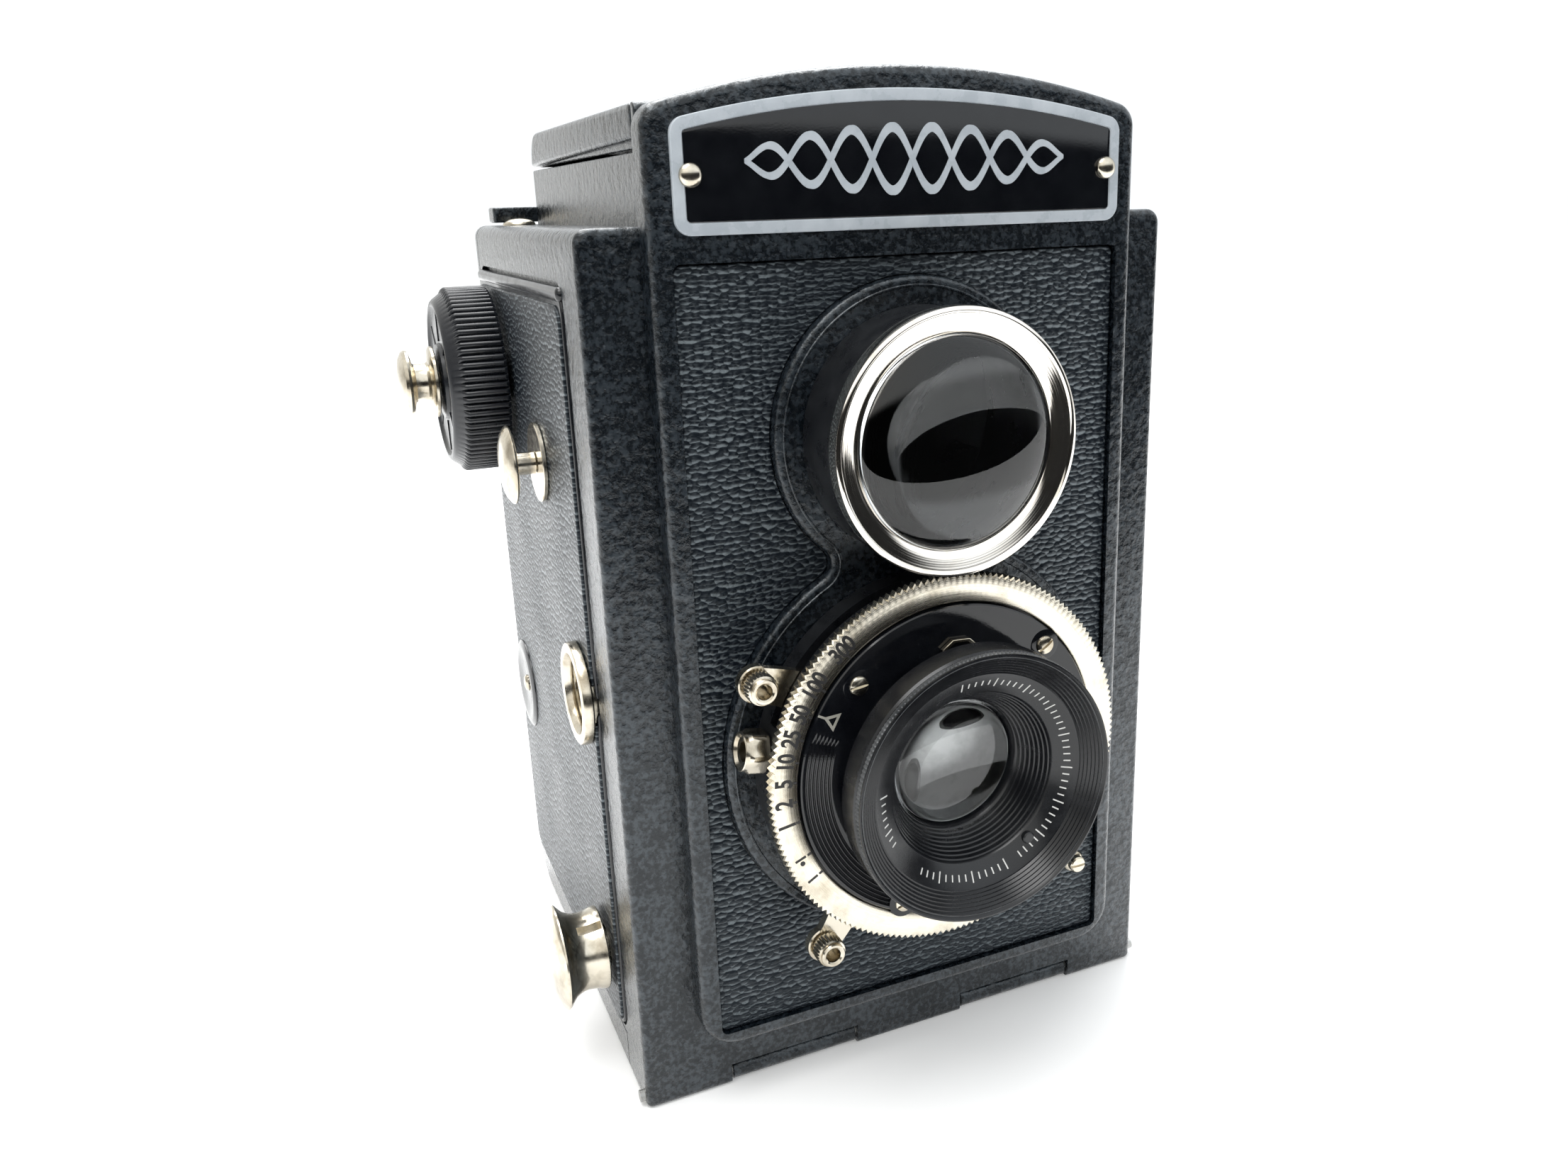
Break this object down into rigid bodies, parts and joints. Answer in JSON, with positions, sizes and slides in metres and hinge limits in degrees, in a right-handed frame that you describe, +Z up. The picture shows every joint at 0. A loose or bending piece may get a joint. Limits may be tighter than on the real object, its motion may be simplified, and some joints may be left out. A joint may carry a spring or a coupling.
{
  "type": "twin lens reflex camera",
  "caption": "Box-shaped twin lens reflex camera for roll film, with a folding finder hood, rim-set shutter, side winding knob and hinged back.",
  "frame": {"origin": "middle of the base, under the box", "axes": "+Z up, lenses look towards -Y, +X to the right seen from the front"},
  "size_m": [0.0945, 0.0924, 0.1236],
  "materials": {
    "enamel": "black crystal enamel, semi-gloss",
    "leather": "pebbled black leatherette",
    "nickel": "warm nickel, polished",
    "steel": "satin",
    "gloss_black": "gloss black enamel",
    "matte_black": "satin black paint",
    "bakelite": "black moulded plastic",
    "glass": "clear polished",
    "mirror": "front silvered",
    "red_window": "clear red"
  },
  "bodies": {
    "camera_body": {"body_shell": "enamel", "front_plate": "enamel", "front_leather": "leather", "side_leather_left": "leather", "side_leather_right": "leather", "badge_plate": "gloss_black", "badge_rivet_left": "nickel", "badge_rivet_right": "nickel", "top_rivet_left": "nickel", "top_rivet_right": "nickel", "strap_stud_left": "nickel", "strap_stud_right": "nickel", "tripod_bush": "nickel", "finder_tube": "matte_black", "finder_ring": "nickel", "finder_lens": "glass", "finder_mirror": "mirror", "mirror_cradle": "matte_black", "viewing_lens": "glass", "hood_frame": "enamel", "hood_floor": "matte_black", "lid_hinge_pin": "steel", "film_chamber": "matte_black", "spool_pin_upper": "steel", "spool_pin_lower": "steel", "door_hinge_pin": "steel", "shutter_housing": "matte_black", "shutter_face": "gloss_black", "face_screw_1": "nickel", "face_screw_2": "nickel", "face_screw_3": "nickel", "cable_socket": "nickel", "plate_stud": "nickel", "rear_cell": "matte_black", "rear_glass": "glass"},
    "lid": {"hood_lid": "enamel"},
    "wing_left": {"hood_wing_left": "enamel"},
    "wing_right": {"hood_wing_right": "enamel"},
    "door": {"back_door": "enamel", "back_leather": "leather", "pressure_plate": "matte_black", "film_window": "red_window"},
    "window_cover": {"window_cover": "enamel"},
    "latch": {"latch_bar": "enamel"},
    "wind": {"wind_knob": "bakelite", "take_up_spool": "bakelite"},
    "wind_button": {"wind_button": "nickel"},
    "supply_knob": {"supply_knob": "nickel"},
    "roller_upper": {"film_roller_upper": "steel"},
    "roller_lower": {"film_roller_lower": "steel"},
    "speed_ring": {"speed_ring": "nickel"},
    "cocking_lever": {"cocking_lever": "nickel"},
    "release_lever": {"release_lever": "nickel"},
    "aperture": {"aperture_ring": "steel"},
    "focus_carrier": {"front_glass": "glass"},
    "focus_cell": {"focus_cell": "matte_black"},
    "blade_1": {"shutter_blade_1": "steel"},
    "blade_2": {"shutter_blade_2": "steel"},
    "blade_3": {"shutter_blade_3": "steel"},
    "blade_4": {"shutter_blade_4": "steel"}
  },
  "joints": [
    {"name": "lid_hinge", "type": "hinge", "parent": "camera_body", "child": "lid", "pos_m": [0, -0.0324, 0.119], "axis": [1, 0, 0], "range_deg": [0, 90]},
    {"name": "wing_left_fold", "type": "hinge", "parent": "lid", "child": "wing_left", "pos_m": [-0.0274, -0.0029, 0.1174], "axis": [0, 1, 0], "range_deg": [0, 90.1]},
    {"name": "wing_right_fold", "type": "hinge", "parent": "lid", "child": "wing_right", "pos_m": [0.0274, -0.0029, 0.1174], "axis": [0, -1, 0], "range_deg": [0, 90.1]},
    {"name": "door_hinge", "type": "hinge", "parent": "camera_body", "child": "door", "pos_m": [0, -0.03295, 0.00135], "axis": [-1, 0, 0], "range_deg": [0, 90]},
    {"name": "window_cover_swing", "type": "hinge", "parent": "door", "child": "window_cover", "pos_m": [0.0105, 0.0351, 0.034], "axis": [0, 1, 0], "range_deg": [0, 90]},
    {"name": "latch_slide", "type": "slide", "parent": "camera_body", "child": "latch", "axis": [1, 0, 0], "range_m": [0, 0.003]},
    {"name": "wind_turn", "type": "hinge", "parent": "camera_body", "child": "wind", "pos_m": [-0.037, 0.0199, 0.0867], "axis": [-1, 0, 0], "continuous": true},
    {"name": "wind_button_pull", "type": "slide", "parent": "wind", "child": "wind_button", "axis": [-1, 0, 0], "range_m": [0, 0.004], "stiffness_N_per_m": 200},
    {"name": "supply_knob_pull", "type": "slide", "parent": "camera_body", "child": "supply_knob", "axis": [-1, 0, 0], "range_m": [0, 0.004], "stiffness_N_per_m": 200},
    {"name": "roller_upper_spin", "type": "hinge", "parent": "camera_body", "child": "roller_upper", "pos_m": [0, 0.0296, 0.0761], "axis": [1, 0, 0], "continuous": true},
    {"name": "roller_lower_spin", "type": "hinge", "parent": "camera_body", "child": "roller_lower", "pos_m": [0, 0.0296, 0.0148], "axis": [1, 0, 0], "continuous": true},
    {"name": "speed_select", "type": "hinge", "parent": "camera_body", "child": "speed_ring", "pos_m": [0, -0.0462, 0.04545], "axis": [0, -1, 0], "range_deg": [-59, 22]},
    {"name": "cocking_stroke", "type": "hinge", "parent": "camera_body", "child": "cocking_lever", "pos_m": [0, -0.0427, 0.04545], "axis": [0, 1, 0], "range_deg": [0, 32]},
    {"name": "release_press", "type": "hinge", "parent": "camera_body", "child": "release_lever", "pos_m": [-0.013, -0.0427, 0.03374], "axis": [0, -1, 0], "range_deg": [0, 12], "stiffness_Nm_per_rad": 0.02},
    {"name": "aperture_select", "type": "hinge", "parent": "camera_body", "child": "aperture", "pos_m": [0, -0.0476, 0.04545], "axis": [0, -1, 0], "range_deg": [-30, 30]},
    {"name": "focus_travel", "type": "slide", "parent": "camera_body", "child": "focus_carrier", "axis": [0, -1, 0], "range_m": [0, 0.0012]},
    {"name": "focus_turn", "type": "hinge", "parent": "focus_carrier", "child": "focus_cell", "pos_m": [0, -0.0504, 0.04545], "axis": [0, -1, 0], "range_deg": [0, 270]},
    {"name": "blade_1_swing", "type": "hinge", "parent": "camera_body", "child": "blade_1", "pos_m": [0.0155, -0.0408, 0.04545], "axis": [0, 1, 0], "range_deg": [0, 38]},
    {"name": "blade_2_swing", "type": "hinge", "parent": "camera_body", "child": "blade_2", "pos_m": [0, -0.0408, 0.06095], "axis": [0, 1, 0], "range_deg": [0, 38]},
    {"name": "blade_3_swing", "type": "hinge", "parent": "camera_body", "child": "blade_3", "pos_m": [-0.0155, -0.0408, 0.04545], "axis": [0, 1, 0], "range_deg": [0, 38]},
    {"name": "blade_4_swing", "type": "hinge", "parent": "camera_body", "child": "blade_4", "pos_m": [0, -0.0408, 0.02995], "axis": [0, 1, 0], "range_deg": [0, 38]}
  ],
  "couplings": [
    {"joint": "wing_left_fold", "follows": "lid_hinge", "ratio": 1},
    {"joint": "wing_right_fold", "follows": "lid_hinge", "ratio": 1},
    {"joint": "focus_turn", "follows": "focus_travel", "rad_per_m": 3926.9},
    {"joint": "blade_1_swing", "follows": "release_press", "ratio": 3.1666},
    {"joint": "blade_2_swing", "follows": "release_press", "ratio": 3.1666},
    {"joint": "blade_3_swing", "follows": "release_press", "ratio": 3.1666},
    {"joint": "blade_4_swing", "follows": "release_press", "ratio": 3.1666}
  ]
}
